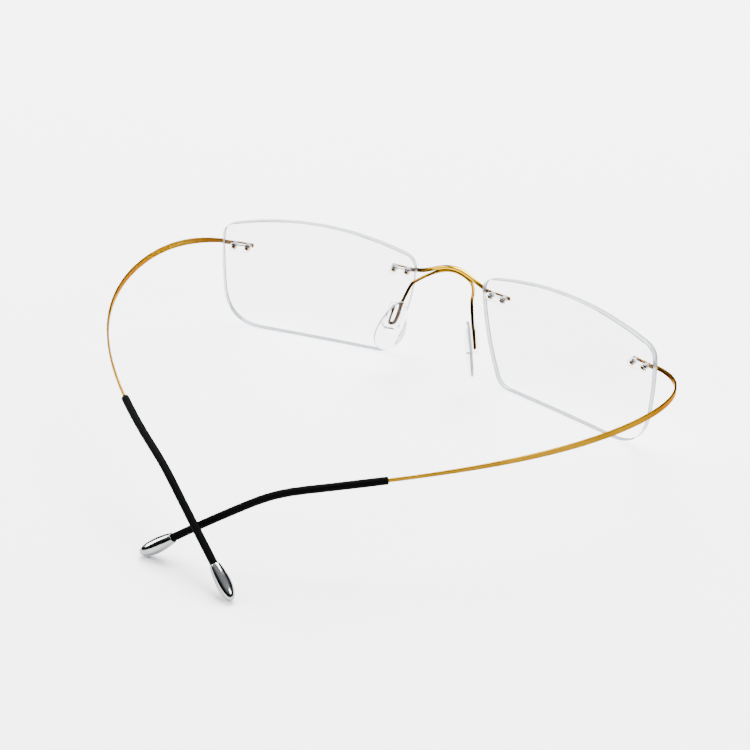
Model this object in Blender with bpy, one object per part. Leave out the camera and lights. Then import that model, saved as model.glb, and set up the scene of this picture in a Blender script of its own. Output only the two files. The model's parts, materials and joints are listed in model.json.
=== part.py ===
# Rimless eyeglasses: drilled lenses, an arched bridge, springy strip temples, sleeves and end caps.
# The front faces -Y, the temples run to +Y, +X is the wearer's left, and the glasses stand on z = 0.
# Sizes are in millimetres and angles in degrees; meshes are written in metres.
import math

import bmesh
import bpy
import numpy as np
from mathutils import Vector

MM = 0.001

# Lenses: u runs from the nasal edge outwards, v up from the bottom edge.
LENS_WIDTH = 52.0
LENS_CORNER_HEIGHT = 27.2
LENS_THICKNESS = 1.8
LENS_BASE_RADIUS = 265.0
LENS_GAP = 18.9
LENS_WRAP = 10.5
LENS_TILT = 3.6
LENS_TOP_ARCH = 3.95
LENS_OUTER_BOW = 0.9
LENS_BOTTOM_BOW = 0.3
LENS_NASAL_BOW = 1.55
LENS_NASAL_SLANT = 7.3
LENS_OUTER_SLANT = 1.4
LENS_EDGE_BEVEL = 0.2
LENS_NASAL_TOP = 0.2           # u of the nasal top corner
LENS_REST_FLAT = 12.1          # length of the bottom edge that is one straight facet
CORNER_TRIM = {"nasal_top": 3.2, "outer_top": 2.9, "outer_bottom": 8.8, "nasal_bottom": 2.7}

# Clips: two pins through each drilled lens end, gripped by a clear double plug.
PIN_PITCH = 3.5
PIN_RADIUS = 0.42
PIN_CHAMFER = 0.12
TEMPLE_PIN_INSET = 2.9
BRIDGE_PIN_INSET = 2.2
TEMPLE_CLIP_HEIGHT = 21.7
BRIDGE_CLIP_HEIGHT = 23.4
CLIP_OVERHANG = 0.8
CLIP_BAR_HEIGHT = 1.1
CLIP_BAR_DEPTH = 0.7
BAR_TO_LENS = 0.1
PIN_TO_BAR = 0.03
PLUG_WALL = 0.25
PLUG_PLATE = 0.5
PLUG_MARGIN = 0.35
PLUG_TO_LENS = 0.05
BORE_CLEARANCE = 0.07
HOLE_CLEARANCE = 0.05
PIN_PROUD = 0.06
ROUND_SIDES = 16
CUT_PAST = 1.0                 # how far a cutter runs out of what it cuts

# Bridge
BRIDGE_RISE = 2.9
BRIDGE_FORWARD = -1.36         # where the arch's crown sits in y
BRIDGE_FULLNESS = 0.76         # below 1 the crown is rounder and the flanks are steeper
BRIDGE_CROWN_DEPTH = 1.15
BRIDGE_CROWN_HEIGHT = 0.9

# Nose pads and their wire
WIRE_RADIUS = 0.4
SOLDER_GAP = 0.06
WIRE_LEAVES_ARCH = 4.2
WIRE_SWING = 2.7                       # how far the wire carries on along the arch before it swings back
WIRE_KINK = (-0.98, 5.04, -0.77)       # from the nasal edge in x, from the bridge clip in z
WIRE_BENDS = (0.9, 1.2)                # where the bends at the kink and above the pad begin
WIRE_ABOVE_PAD = 0.6
PAD_PLACE = (1.7, 8.45, -8.0)          # the same, to the middle of the hairpin
PAD_SPLAY = 33.5
PAD_DOWN = (0.239, 0.235, -0.942)
PAD_LENGTH = 13.8
PAD_WIDTH = 8.2
PAD_TAPER = 0.3
PAD_RIM = 0.8
PAD_CROWN = 0.9
PAD_SET_DOWN = 3.3
HAIRPIN_LEG = 4.6
HAIRPIN_HALF_WIDTH = 0.85
POCKET_CLEARANCE = 0.35
POCKET_WALL = 0.55
POCKET_ABOVE_LEG = 0.2
BOSS_ROUND = 0.9
RETURN_LEG_SHORTER = 0.6

# Temples: s runs along the strip from the lens edge to the tip of the end cap.
TEMPLE_LENGTH = 153.5
CROSSING_FROM_TIP = 18.3       # from where the folded temples cross to their tips
BOW_REACH = 15.4
BOW_LENGTH = 45.0
ARM_TURN = 83.4
ARM_TURN_LENGTH = 155.0
STRIP_RISE = 5.2
SAG_TURN = 23.9                # how far the strip tips down along its whole length
SAG_POWER = 1.5
EAR_BEND_FROM_TIP = 43.6
EAR_BEND_LENGTH = 15.3
STRIP_THICKNESS = 0.55
STRIP_BOW_HEIGHT = 1.6
STRIP_TAIL_HEIGHT = 0.9
STRIP_WIDENS = 10.0
STRIP_TAPER_START = 40.0
STRIP_CHAMFER = 0.18
STRIP_SPLIT_GAP = 0.05
SLEEVE_SHOWS = 51.6            # length of the sleeve that shows before its end cap
SLEEVE_CLEARANCE = 0.16        # to the corners of the strip inside
SLEEVE_WALL = 0.23
SLEEVE_NOSE = 0.3
CAP_LENGTH = 9.3
CAP_RADIUS = 1.75
CAP_WALL = 0.23
CAP_BULGE_AT = 0.5
CAP_SOCKET = 1.3
CAP_CLEARANCE = 0.1
CAP_BORE_LENGTH = 4.6
STRIP_IN_CAP = 5.2
CROSSING_GAP = 1.1             # between the two temples where one lies over the other
PATH_STEP = 0.25
BOW_RING_SPACING = 2.2
ARM_RING_SPACING = 3.2


def unit(vector):
    return np.asarray(vector) / np.linalg.norm(vector)


def smooth(t):
    t = np.clip(t, 0.0, 1.0)
    return t * t * (3.0 - 2.0 * t)


def bisect(function, low, high, steps=40):
    for _ in range(steps):
        middle = 0.5 * (low + high)
        if function(middle) > 0.0:
            high = middle
        else:
            low = middle
    return 0.5 * (low + high)


# ---- Meshes and objects ----

def mesh_from_rings(rings, looped=False):
    # Rings of equal point count joined in order; a ring of one point closes an end.
    mesh = bmesh.new()
    rows = [[mesh.verts.new(tuple(p * MM for p in point)) for point in ring] for ring in rings]
    pairs = list(zip(rows, rows[1:]))
    if looped:
        pairs.append((rows[-1], rows[0]))
    for first, second in pairs:
        count = max(len(first), len(second))
        for i in range(count):
            corners = [first[i % len(first)], first[(i + 1) % len(first)],
                       second[(i + 1) % len(second)], second[i % len(second)]]
            mesh.faces.new(list(dict.fromkeys(corners)))
    if not looped:
        for row in (rows[0], rows[-1]):
            if len(row) > 2:
                mesh.faces.new(row)
    return mesh


def add_object(name, mesh, material=None, side=1, pivot=None, sharp=35.0):
    # side -1 mirrors the mesh in x; pivot puts the object's origin on its joint axis.
    origin = np.zeros(3) if pivot is None else np.array(pivot, dtype=float)
    for vertex in mesh.verts:
        vertex.co.x *= side
        vertex.co -= Vector(origin * MM)
    bmesh.ops.recalc_face_normals(mesh, faces=mesh.faces)
    data = bpy.data.meshes.new(name)
    mesh.to_mesh(data)
    mesh.free()
    data.shade_smooth()
    data.set_sharp_from_angle(angle=math.radians(sharp))
    thing = bpy.data.objects.new(name, data)
    thing.location = tuple(origin * MM)
    bpy.context.scene.collection.objects.link(thing)
    if material is not None:
        data.materials.append(material)
    return thing


def combine(target, tool, operation, solver="EXACT"):
    tool.hide_render = True
    tool.display_type = "WIRE"
    modifier = target.modifiers.new(operation.lower(), "BOOLEAN")
    modifier.operation = operation
    modifier.solver = solver
    modifier.object = tool


def make_material(name, color, roughness, metallic=0.0, alpha=1.0):
    material = bpy.data.materials.new(name)
    material.use_nodes = True
    shader = material.node_tree.nodes["Principled BSDF"]
    shader.inputs["Base Color"].default_value = (*color, 1.0)
    shader.inputs["Roughness"].default_value = roughness
    shader.inputs["Metallic"].default_value = metallic
    shader.inputs["Alpha"].default_value = alpha
    return material


def round_section(count=12):
    angles = [2.0 * math.pi * i / count for i in range(count)]
    return [(math.cos(a), math.sin(a)) for a in angles]


def strip_section(depth, height, chamfer):
    # A flat strip with its corners taken off: first value across, second up.
    b = depth / 2.0
    a = height / 2.0
    quarter = [(b, a - chamfer), (b - chamfer, a)]
    upper = quarter + [(-x, y) for x, y in reversed(quarter)]
    return upper + [(x, -y) for x, y in reversed(upper)]


def place_section(section, centre, across, up, scale=1.0):
    return [centre + scale * (x * across + y * up) for x, y in section]


# ---- Lens ----

def edge_point(start, end, bow, t):
    # A shallow parabola from corner to corner, bulging away from the lens centre.
    start, end = np.array(start), np.array(end)
    run = end - start
    outward = unit((-run[1], run[0]))
    return start + run * t + 4.0 * t * (1.0 - t) * bow * outward


def lens_outline():
    # Anticlockwise from the nasal top corner when seen with u to the left.
    corners = [(LENS_NASAL_TOP, LENS_CORNER_HEIGHT), (LENS_WIDTH, LENS_CORNER_HEIGHT),
               (LENS_WIDTH - LENS_OUTER_SLANT, 0.0), (LENS_NASAL_SLANT, 0.0)]
    bows = [LENS_TOP_ARCH, LENS_OUTER_BOW, LENS_BOTTOM_BOW, LENS_NASAL_BOW]
    trims = [CORNER_TRIM[key] for key in ("nasal_top", "outer_top", "outer_bottom", "nasal_bottom")]
    counts = [12, 6, 3, 6]
    bottom = 2
    points = []
    for i in range(4):
        j = (i + 1) % 4
        start, end = corners[i], corners[j]
        length = math.dist(start, end)
        first, last = trims[i] / length, 1.0 - trims[j] / length
        if i == bottom:
            half = LENS_REST_FLAT / 2.0 / length
            stations = list(np.linspace(first, 0.5 - half, counts[i]))
            stations += list(np.linspace(0.5 + half, last, counts[i]))
        else:
            stations = list(np.linspace(first, last, counts[i]))
        points += [edge_point(start, end, bows[i], t) for t in stations]
        beyond = corners[(i + 2) % 4]
        after = edge_point(end, beyond, bows[j], trims[j] / math.dist(end, beyond))
        before = points[-1]
        for s in (0.2, 0.4, 0.6, 0.8):
            points.append((1 - s) ** 2 * before + 2 * s * (1 - s) * np.array(end) + s * s * after)
    return np.array(points)


def lens_sag(u, v):
    return ((u - LENS_WIDTH / 2.0) ** 2 + (v - LENS_CORNER_HEIGHT / 2.0) ** 2) / (2.0 * LENS_BASE_RADIUS)


def lens_point(u, depth, v, rise=0.0):
    # The top leans forward by the tilt, and the outer edge turns back by the wrap.
    tilt, wrap = math.radians(-LENS_TILT), math.radians(LENS_WRAP)
    y = lens_sag(u, v) + depth
    z = v - LENS_CORNER_HEIGHT / 2.0
    back = y * math.cos(tilt) + z * math.sin(tilt)
    up = z * math.cos(tilt) - y * math.sin(tilt)
    return np.array([LENS_GAP / 2.0 + u * math.cos(wrap) - back * math.sin(wrap),
                     u * math.sin(wrap) + back * math.cos(wrap), rise + up])


def lens_rise():
    # Height of the lens middle that puts its lowest edge on the floor.
    depth = LENS_THICKNESS / 2.0 - LENS_EDGE_BEVEL
    return -min(lens_point(u, side * depth, v)[2] for u, v in lens_outline() for side in (-1, 1))


LENS_RISE = lens_rise()


def on_lens(u, depth, v):
    return lens_point(u, depth, v, LENS_RISE)


def toward_rim(middle, point, share, depth):
    u, v = middle + (point - middle) * share
    return u, depth, v


def lens_mesh():
    outline = lens_outline()
    middle = np.array([LENS_WIDTH / 2.0, LENS_CORNER_HEIGHT / 2.0])
    half = LENS_THICKNESS / 2.0
    inset = 1.0 - LENS_EDGE_BEVEL / (LENS_CORNER_HEIGHT / 2.0)
    shares = [0.0, 0.3, 0.6, 0.85, inset]
    front = [[on_lens(*toward_rim(middle, point, share, -half)) for point in outline] for share in shares[1:]]
    back = [[on_lens(*toward_rim(middle, point, share, half)) for point in outline] for share in shares[1:]]
    rim = [[on_lens(point[0], depth, point[1]) for point in outline]
           for depth in (LENS_EDGE_BEVEL - half, half - LENS_EDGE_BEVEL)]
    poles = [[on_lens(middle[0], depth, middle[1])] for depth in (-half, half)]
    return mesh_from_rings([poles[0]] + front + rim + back[::-1] + [poles[1]])


# ---- Clips: a local frame on the lens, a along it, b back through it, c up ----

class Clip:
    def __init__(self, u, v):
        step = 0.5
        self.origin = on_lens(u, 0.0, v)
        self.along = unit(on_lens(u + step, 0.0, v) - on_lens(u - step, 0.0, v))
        lift = on_lens(u, 0.0, v + step) - on_lens(u, 0.0, v - step)
        self.up = unit(lift - self.along * np.dot(lift, self.along))
        self.back = np.cross(self.up, self.along)

    def at(self, a, b, c=0.0):
        return self.origin + a * self.along + b * self.back + c * self.up

    def turned(self, a, profile, sides=ROUND_SIDES):
        # A turned solid on the axis of the pin at a: the profile is (b, radius) pairs.
        section = round_section(sides)
        centres = [self.at(a, b) for b, _ in profile]
        rings = [[centres[0]]]
        rings += [place_section(section, centre, self.along, self.up, radius)
                  for centre, (_, radius) in zip(centres, profile)]
        return mesh_from_rings(rings + [[centres[-1]]])


def nasal_edge(v):
    # u of the nasal edge at height v
    run = np.array([p for p in lens_outline() if p[0] < LENS_WIDTH / 4.0 and p[1] < LENS_CORNER_HEIGHT])
    order = np.argsort(run[:, 1])
    return float(np.interp(v, run[order, 1], run[order, 0]))


def outer_edge(v):
    run = np.array([p for p in lens_outline() if p[0] > 0.75 * LENS_WIDTH and p[1] < LENS_CORNER_HEIGHT])
    order = np.argsort(run[:, 1])
    return float(np.interp(v, run[order, 1], run[order, 0]))


TEMPLE_EDGE = outer_edge(TEMPLE_CLIP_HEIGHT)
BRIDGE_EDGE = nasal_edge(BRIDGE_CLIP_HEIGHT)
TEMPLE_CLIP = Clip(TEMPLE_EDGE - TEMPLE_PIN_INSET - PIN_PITCH / 2.0, TEMPLE_CLIP_HEIGHT)
BRIDGE_CLIP = Clip(BRIDGE_EDGE + BRIDGE_PIN_INSET + PIN_PITCH / 2.0, BRIDGE_CLIP_HEIGHT)
PIN_PLACES = {"inner": -PIN_PITCH / 2.0, "outer": PIN_PITCH / 2.0}
BORE_RADIUS = PIN_RADIUS + BORE_CLEARANCE
PLUG_RADIUS = BORE_RADIUS + PLUG_WALL
HOLE_RADIUS = PLUG_RADIUS + HOLE_CLEARANCE
LENS_BACK = LENS_THICKNESS / 2.0
BAR_BACK = -LENS_BACK - BAR_TO_LENS
BAR_MIDDLE = BAR_BACK - CLIP_BAR_DEPTH / 2.0
PLATE_FRONT = LENS_BACK + PLUG_TO_LENS
PLATE_BACK = PLATE_FRONT + PLUG_PLATE
CLIP_REACH = PIN_PITCH / 2.0 + PIN_RADIUS + CLIP_OVERHANG


def pin_mesh(clip, a):
    start, end = BAR_BACK + PIN_TO_BAR, PLATE_BACK + PIN_PROUD
    profile = [(start, PIN_RADIUS), (end - PIN_CHAMFER, PIN_RADIUS), (end, PIN_RADIUS - PIN_CHAMFER)]
    return clip.turned(a, profile)


def plug(name, clip, material, side):
    # A stadium-shaped link plate behind the lens with a tube through each hole.
    # The exact solver leaves inner faces here at some lens widths; the manifold one doesn't.
    radius = PLUG_RADIUS + PLUG_MARGIN
    steps = 8
    stadium = []
    for end, start_angle in ((1, -math.pi / 2), (-1, math.pi / 2)):
        for i in range(steps + 1):
            angle = start_angle + math.pi * i / steps
            stadium.append((end * PIN_PITCH / 2.0 + radius * math.cos(angle), radius * math.sin(angle)))
    rings = [[clip.at(a, b, c) for a, c in stadium] for b in (PLATE_FRONT, PLATE_BACK)]
    plate = add_object(name, mesh_from_rings(rings), material, side)
    for place, a in PIN_PLACES.items():
        tube_start, tube_end = PLUG_TO_LENS - LENS_BACK, PLATE_FRONT + PLUG_PLATE / 2.0
        tube_profile = [(tube_start, PLUG_RADIUS), (tube_end, PLUG_RADIUS)]
        tube = add_object(f"{name}_tube_{place}", clip.turned(a, tube_profile), None, side)
        combine(plate, tube, "UNION", "MANIFOLD")
    for place, a in PIN_PLACES.items():
        bore_profile = [(BAR_BACK, BORE_RADIUS), (PLATE_BACK + CUT_PAST, BORE_RADIUS)]
        bore = add_object(f"{name}_bore_{place}", clip.turned(a, bore_profile), None, side)
        combine(plate, bore, "DIFFERENCE", "MANIFOLD")
    return plate


def lens(name, material, side):
    body = add_object(name, lens_mesh(), material, side)
    for clip_name, clip in (("temple", TEMPLE_CLIP), ("bridge", BRIDGE_CLIP)):
        for place, a in PIN_PLACES.items():
            profile = [(-LENS_BACK - CUT_PAST, HOLE_RADIUS), (LENS_BACK + CUT_PAST, HOLE_RADIUS)]
            drill = add_object(f"{name}_{clip_name}_drill_{place}", clip.turned(a, profile), None, side)
            combine(body, drill, "DIFFERENCE")
    return body


# ---- Bridge ----

def bridge_half():
    # From the clip's outer end on the lens front to the crown, as (point, depth, height) rows.
    end = BRIDGE_CLIP.at(CLIP_REACH, BAR_MIDDLE)
    reach = BRIDGE_PIN_INSET + PIN_PITCH / 2.0
    leave = BRIDGE_CLIP.at(-reach, BAR_MIDDLE)
    rows = [(end, CLIP_BAR_DEPTH, CLIP_BAR_HEIGHT), (leave, CLIP_BAR_DEPTH, CLIP_BAR_HEIGHT)]
    for i in range(1, 12):
        share = i / 12.0
        lift = (0.5 - 0.5 * math.cos(math.pi * share)) ** BRIDGE_FULLNESS
        x = leave[0] * (1.0 - share)
        y = leave[1] + (BRIDGE_FORWARD - leave[1]) * lift
        depth = CLIP_BAR_DEPTH + (BRIDGE_CROWN_DEPTH - CLIP_BAR_DEPTH) * lift
        height = CLIP_BAR_HEIGHT + (BRIDGE_CROWN_HEIGHT - CLIP_BAR_HEIGHT) * lift
        rows.append((np.array([x, y, leave[2] + BRIDGE_RISE * lift]), depth, height))
    crown = np.array([0.0, BRIDGE_FORWARD, leave[2] + BRIDGE_RISE])
    return rows, (crown, BRIDGE_CROWN_DEPTH, BRIDGE_CROWN_HEIGHT)


def mirrored(point):
    return np.array([-point[0], point[1], point[2]])


def bridge_mesh():
    half, crown = bridge_half()
    rows = half + [crown] + [(mirrored(p), d, h) for p, d, h in reversed(half)]
    points = [row[0] for row in rows]
    rings = []
    for i, (point, depth, height) in enumerate(rows):
        tangent = unit(points[min(i + 1, len(points) - 1)] - points[max(i - 1, 0)])
        across = unit(np.cross(tangent, (0.0, 0.0, 1.0)))
        up = np.cross(across, tangent)
        rings.append(place_section(strip_section(depth, height, STRIP_CHAMFER), point, across, up))
    return mesh_from_rings(rings)


# ---- Nose pads and their wire ----

def pad_frame():
    # down runs along the pad, towards the nose runs out of its face, and wide completes them.
    down = unit(PAD_DOWN)
    level = np.array([-math.cos(math.radians(PAD_SPLAY)), math.sin(math.radians(PAD_SPLAY)), 0.0])
    nose = unit(level - down * np.dot(level, down))
    wide = np.cross(nose, down)
    middle = np.array([LENS_GAP / 2.0 + PAD_PLACE[0], PAD_PLACE[1], BRIDGE_CLIP.origin[2] + PAD_PLACE[2]])
    return middle, wide, down, nose


PAD_MIDDLE, PAD_WIDE, PAD_DOWNWARD, PAD_NOSE = pad_frame()


def on_pad(w, d, n):
    return PAD_MIDDLE + w * PAD_WIDE + d * PAD_DOWNWARD + n * PAD_NOSE


def under_arch(x):
    # The wire's centre where it is soldered below the bridge.
    half, crown = bridge_half()
    rows = [crown] + half[:1:-1]
    points = np.array([row[0] for row in rows])
    heights = np.array([row[2] for row in rows])
    y, z = (np.interp(x, points[:, 0], points[:, i]) for i in (1, 2))
    ahead = np.interp(x + 0.2, points[:, 0], points[:, 2])
    behind = np.interp(x - 0.2, points[:, 0], points[:, 2])
    normal = unit((-(ahead - behind), 0.4))
    drop = np.interp(x, points[:, 0], heights) / 2.0 + SOLDER_GAP + WIRE_RADIUS
    return np.array([x - normal[0] * drop, y, z - normal[1] * drop])


def curved(start, control, end, shares):
    return [(1 - t) ** 2 * start + 2 * t * (1 - t) * control + t * t * end for t in shares]


def bent(corners, trims, steps=5):
    # Straight runs joined by soft bends that start one trim before each corner.
    path = [corners[0]]
    for i in range(1, len(corners) - 1):
        before = corners[i] + unit(corners[i - 1] - corners[i]) * trims[i - 1]
        after = corners[i] + unit(corners[i + 1] - corners[i]) * trims[i - 1]
        path += curved(before, corners[i], after, np.linspace(0.0, 1.0, steps))
    return path + [corners[-1]]


def pad_wire_half():
    # From the crown of the bridge to the end of the hairpin in the left pad.
    arch = [under_arch(x) for x in np.linspace(0.0, WIRE_LEAVES_ARCH, 6)]
    kink = np.array([LENS_GAP / 2.0 + WIRE_KINK[0], WIRE_KINK[1], BRIDGE_CLIP.origin[2] + WIRE_KINK[2]])
    lead = arch[-1] + unit(arch[-1] - arch[-2]) * WIRE_SWING
    swing = curved(arch[-1], lead, kink, np.linspace(0.0, 0.8, 5))
    top = on_pad(HAIRPIN_HALF_WIDTH, -HAIRPIN_LEG / 2.0 - WIRE_ABOVE_PAD, 0.0)
    turn = HAIRPIN_LEG / 2.0
    start = on_pad(HAIRPIN_HALF_WIDTH, turn, 0.0)
    run = bent([swing[-1], kink, top, start], WIRE_BENDS)
    loop = [on_pad(HAIRPIN_HALF_WIDTH * math.cos(a), turn + HAIRPIN_HALF_WIDTH * math.sin(a), 0.0)
            for a in np.linspace(0.0, math.pi, 8)[1:]]
    tail = [on_pad(-HAIRPIN_HALF_WIDTH, RETURN_LEG_SHORTER - turn, 0.0)]
    return arch[:-1] + swing[:-1] + run + loop + tail


def pad_wire_mesh():
    half = pad_wire_half()
    points = [mirrored(p) for p in reversed(half[1:])] + half
    section = round_section(10)
    across = np.array([0.0, 1.0, 0.0])
    rings = []
    for i, point in enumerate(points):
        tangent = unit(points[min(i + 1, len(points) - 1)] - points[max(i - 1, 0)])
        across = unit(across - tangent * np.dot(across, tangent))
        rings.append(place_section(section, point, across, np.cross(tangent, across), WIRE_RADIUS))
    return mesh_from_rings(rings)


def drop_outline(scale, n, count=32):
    # A drop, narrower at its top, scaled about its own middle.
    ring = []
    for i in range(count):
        angle = 2.0 * math.pi * i / count
        d = -math.cos(angle) * PAD_LENGTH / 2.0
        w = math.sin(angle) * PAD_WIDTH / 2.0 * (1.0 - PAD_TAPER * math.cos(angle))
        ring.append(on_pad(w * scale, PAD_SET_DOWN + d * scale, n))
    return ring


POCKET_DEPTH = 2.0 * (WIRE_RADIUS + POCKET_CLEARANCE)
POCKET_WIDTH = POCKET_DEPTH + 2.0 * HAIRPIN_HALF_WIDTH
POCKET_TOP = -HAIRPIN_LEG / 2.0 - POCKET_ABOVE_LEG
POCKET_BOTTOM = HAIRPIN_LEG / 2.0 + HAIRPIN_HALF_WIDTH + WIRE_RADIUS + POCKET_CLEARANCE


def pad_box(low, high):
    # A box in the pad's own axes, given as (w, d, n) corners.
    rings = []
    for d in (low[1], high[1]):
        rings.append([on_pad(w, d, n) for w, n in
                      ((low[0], low[2]), (high[0], low[2]), (high[0], high[2]), (low[0], high[2]))])
    return mesh_from_rings(rings)


def nose_pad(name, material, side):
    plate_back = POCKET_DEPTH / 2.0
    face = plate_back + PAD_RIM
    rings = [[on_pad(0.0, PAD_SET_DOWN, plate_back)]]
    rings += [drop_outline(scale, plate_back) for scale in (0.5, 0.94)]
    rings += [drop_outline(1.0, plate_back + 0.3 * PAD_RIM), drop_outline(1.0, plate_back + 0.7 * PAD_RIM)]
    for scale in (0.9, 0.7, 0.45, 0.2):
        rings.append(drop_outline(scale, face + PAD_CROWN * (1.0 - scale * scale)))
    rings.append([on_pad(0.0, PAD_SET_DOWN, face + PAD_CROWN)])
    pivot = PAD_MIDDLE * np.array([side, 1.0, 1.0])
    pad = add_object(name, mesh_from_rings(rings), material, side, pivot)
    half_w = POCKET_WIDTH / 2.0 + POCKET_WALL
    boss = add_object(f"{name}_boss", pad_box((-half_w, POCKET_TOP, -plate_back - POCKET_WALL),
                                              (half_w, POCKET_BOTTOM + POCKET_WALL, face)), None, side, pivot)
    bevel = boss.modifiers.new("rounded", "BEVEL")
    bevel.width = BOSS_ROUND * MM
    bevel.segments = 3
    combine(pad, boss, "UNION")
    pocket = add_object(f"{name}_pocket", pad_box((-POCKET_WIDTH / 2.0, POCKET_TOP - CUT_PAST, -plate_back),
                                                  (POCKET_WIDTH / 2.0, POCKET_BOTTOM, plate_back)),
                        None, side, pivot)
    combine(pad, pocket, "DIFFERENCE")
    return pad


# ---- Temples ----

SLEEVE_BORE = math.hypot(STRIP_THICKNESS, STRIP_TAIL_HEIGHT) / 2.0 + SLEEVE_CLEARANCE
SLEEVE_RADIUS = SLEEVE_BORE + SLEEVE_WALL
CAP_START = TEMPLE_LENGTH - CAP_LENGTH
SLEEVE_START = CAP_START - SLEEVE_SHOWS
CAP_SOCKET_RADIUS = SLEEVE_RADIUS + CAP_CLEARANCE
CAP_COLLAR_RADIUS = CAP_SOCKET_RADIUS + CAP_WALL


def cap_profile():
    # (s, radius) pairs from the collar to the tip.
    rows = []
    for share in (0.0, 0.08, 0.2, 0.35, 0.5, 0.62, 0.74, 0.84, 0.92, 0.97):
        if share < CAP_BULGE_AT:
            swell = math.sin(0.5 * math.pi * share / CAP_BULGE_AT)
            radius = CAP_COLLAR_RADIUS + (CAP_RADIUS - CAP_COLLAR_RADIUS) * swell
        else:
            fall = (share - CAP_BULGE_AT) / (1.0 - CAP_BULGE_AT)
            radius = CAP_RADIUS * math.sqrt(1.0 - fall * fall)
        rows.append((CAP_START + share * CAP_LENGTH, radius))
    return rows


class Temple:
    # The strip's centre line: bow and arm turn it in plan, rise, sag and ear bend tip it in height.
    def __init__(self, bow_turn, ear_bend):
        count = int(round(TEMPLE_LENGTH / PATH_STEP))
        middle = (np.arange(count) + 0.5) * (TEMPLE_LENGTH / count)
        heading0 = math.atan2(TEMPLE_CLIP.along[1], TEMPLE_CLIP.along[0])
        pitch0 = math.asin(TEMPLE_CLIP.along[2])
        arm = np.clip(middle / ARM_TURN_LENGTH, 0.0, 1.0)
        bow = np.array([math.erf(s / BOW_REACH) for s in middle])
        heading = heading0 + math.radians(bow_turn) * bow + math.radians(ARM_TURN) * (2.0 * arm - arm * arm)
        settle = smooth(middle / STRIP_WIDENS)
        sag = (middle / TEMPLE_LENGTH) ** SAG_POWER
        ear = smooth((middle - TEMPLE_LENGTH + EAR_BEND_FROM_TIP) / EAR_BEND_LENGTH)
        pitch = pitch0 + (math.radians(STRIP_RISE) - pitch0) * settle
        pitch = pitch - math.radians(SAG_TURN) * sag - math.radians(ear_bend) * ear
        step_vectors = np.stack([np.cos(heading) * np.cos(pitch), np.sin(heading) * np.cos(pitch),
                                 np.sin(pitch)], axis=1) * (TEMPLE_LENGTH / count)
        edge = TEMPLE_CLIP.at(TEMPLE_PIN_INSET + PIN_PITCH / 2.0, BAR_MIDDLE)
        self.stations = np.linspace(0.0, TEMPLE_LENGTH, count + 1)
        self.points = edge + np.vstack([np.zeros(3), np.cumsum(step_vectors, axis=0)])

    def at(self, s):
        if s < 0.0:
            return self.points[0] + TEMPLE_CLIP.along * s
        return np.array([np.interp(s, self.stations, self.points[:, i]) for i in range(3)])

    def frame(self, s):
        ahead = min(s + 0.4, TEMPLE_LENGTH)
        tangent = unit(self.at(ahead) - self.at(ahead - 0.8))
        across = unit(np.cross(tangent, (0.0, 0.0, 1.0)))
        return self.at(s), across, np.cross(across, tangent)

    def lowest_of_cap(self):
        return min(self.at(s)[2] - radius * self.frame(s)[2][2] for s, radius in cap_profile())


def outer_radius(stations):
    # Half the thickness of a temple's sleeve and end cap along it.
    cap = np.array(cap_profile())
    return np.where(stations < CAP_START, SLEEVE_RADIUS, np.interp(stations, cap[:, 0], cap[:, 1]))


def crossing_gap(difference):
    left = Temple(BOW_TURN - difference / 2.0, EAR_BEND)
    right = Temple(BOW_TURN + difference / 2.0, EAR_BEND)
    late = left.stations > SLEEVE_START
    there = right.points[late] * np.array([-1.0, 1.0, 1.0])
    radius = outer_radius(left.stations[late])
    gaps = np.linalg.norm(left.points[late][:, None] - there[None], axis=2) - radius[:, None] - radius[None]
    return gaps.min() - CROSSING_GAP


# The ear bend is whatever lays the end caps on the floor, and doesn't depend on how the bow turns.
EAR_BEND = bisect(lambda bend: -Temple(0.0, bend).lowest_of_cap(), 0.0, 110.0)
# The bow turns the temples in until they cross over the nose, so far before their tips.
BOW_TURN = bisect(lambda turn: -Temple(turn, EAR_BEND).at(TEMPLE_LENGTH - CROSSING_FROM_TIP)[0], 0.0, 120.0)
# The left temple lies over the right one, so its bow turns less.
TURN_DIFFERENCE = bisect(crossing_gap, 0.0, 20.0)
TEMPLES = {"left": Temple(BOW_TURN - TURN_DIFFERENCE / 2.0, EAR_BEND),
           "right": Temple(BOW_TURN + TURN_DIFFERENCE / 2.0, EAR_BEND)}


def bow_centre(temple):
    # Middle of the bending stretch, which the opened arm turns about.
    return temple.points[temple.stations <= BOW_LENGTH].mean(axis=0)


def strip_height(s):
    widened = CLIP_BAR_HEIGHT + (STRIP_BOW_HEIGHT - CLIP_BAR_HEIGHT) * smooth(s / STRIP_WIDENS)
    taper = smooth((s - STRIP_TAPER_START) / (SLEEVE_START - STRIP_TAPER_START))
    return widened + (STRIP_TAIL_HEIGHT - STRIP_BOW_HEIGHT) * taper


def strip_mesh(temple, start, end, spacing):
    rings = []
    for s in np.linspace(start, end, max(2, int(round((end - start) / spacing)) + 1)):
        section = strip_section(STRIP_THICKNESS, strip_height(s), STRIP_CHAMFER)
        centre, across, up = temple.frame(max(s, 0.0))
        if s <= 0.0:
            across, up = -TEMPLE_CLIP.back, TEMPLE_CLIP.up
        rings.append(place_section(section, temple.at(s), across, up))
    return mesh_from_rings(rings)


def sleeve_mesh(temple):
    section = round_section(12)
    end = CAP_START + CAP_SOCKET - CAP_CLEARANCE
    stations = np.linspace(SLEEVE_START + SLEEVE_NOSE, end, 18)
    outer = [(SLEEVE_START, SLEEVE_RADIUS - 0.6 * (SLEEVE_RADIUS - SLEEVE_BORE))]
    outer += [(s, SLEEVE_RADIUS) for s in stations]
    inner = [(s, SLEEVE_BORE) for s in (end, *stations[-2:0:-1], SLEEVE_START)]
    rings = [place_section(section, *temple.frame(s), radius) for s, radius in outer + inner]
    return mesh_from_rings(rings, looped=True)


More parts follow.
